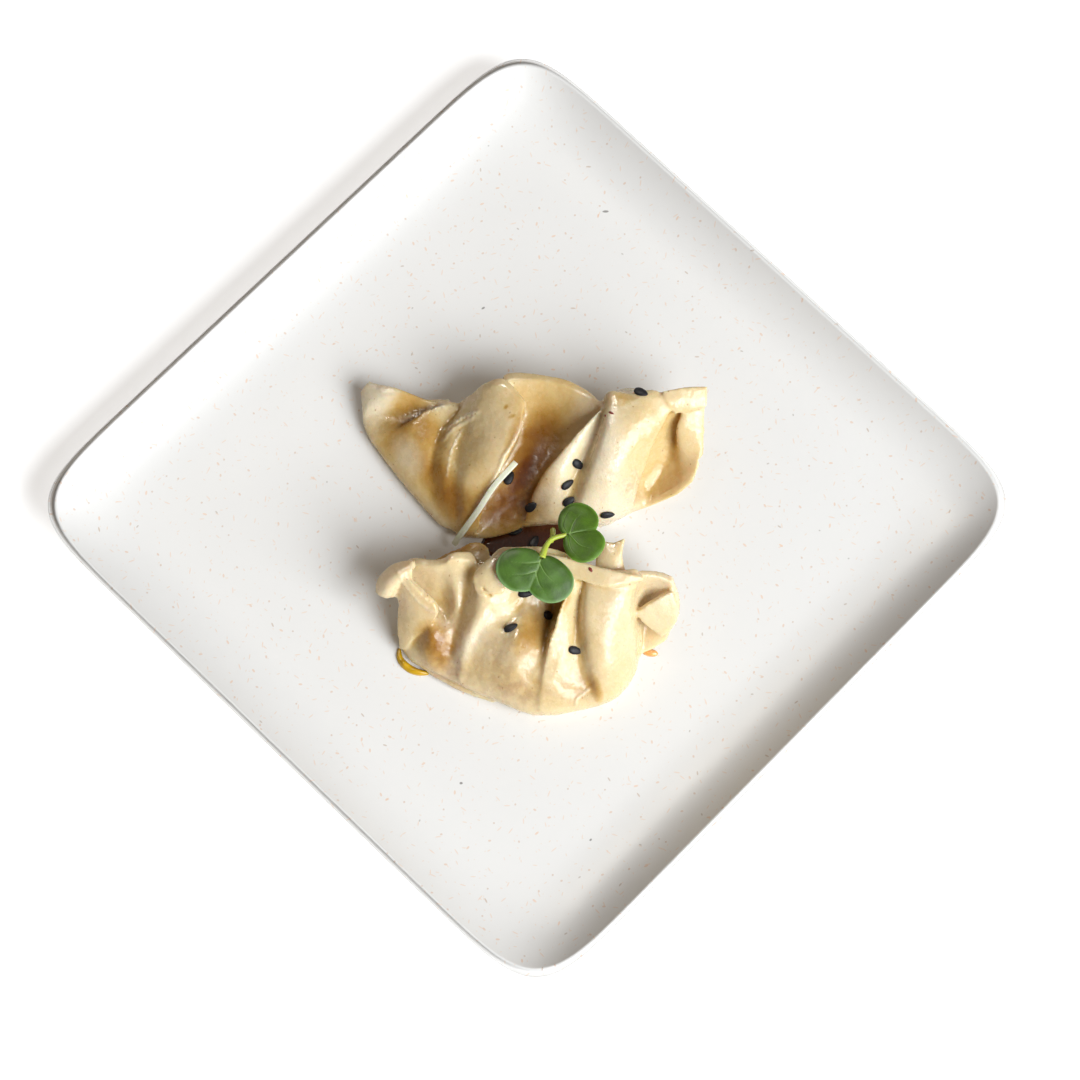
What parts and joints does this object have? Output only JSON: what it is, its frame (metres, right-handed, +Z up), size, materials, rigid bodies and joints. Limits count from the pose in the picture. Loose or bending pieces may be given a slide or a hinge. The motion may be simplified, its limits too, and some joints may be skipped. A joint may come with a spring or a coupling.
{
  "type": "gyoza on a plate",
  "caption": "Pleated gyoza lying on a square plate with turned-up sides, with sesame, a two-leaf sprout and a shred of spring onion.",
  "frame": {"origin": "middle of the plate's foot ring, at the surface it stands on", "axes": "+Z up; the plate's sides lie along X and Y; the food faces the corner between -Y and +X"},
  "size_m": [0.1708, 0.1708, 0.0274],
  "materials": {
    "plate": "satin, with fine specks",
    "dough": "moist, slightly see-through",
    "leaf": "waxy",
    "stalk": "moist",
    "shred": "moist",
    "mustard": "glossy",
    "sauce": "glossy"
  },
  "bodies": {
    "root": {"plate": "plate", "gyoza_far": "dough", "gyoza_near": "dough", "leaf_near": "leaf", "leaf_far": "leaf", "stalk": "stalk", "shred": "shred", "mustard": "mustard", "drop": "sauce"}
  },
  "joints": []
}
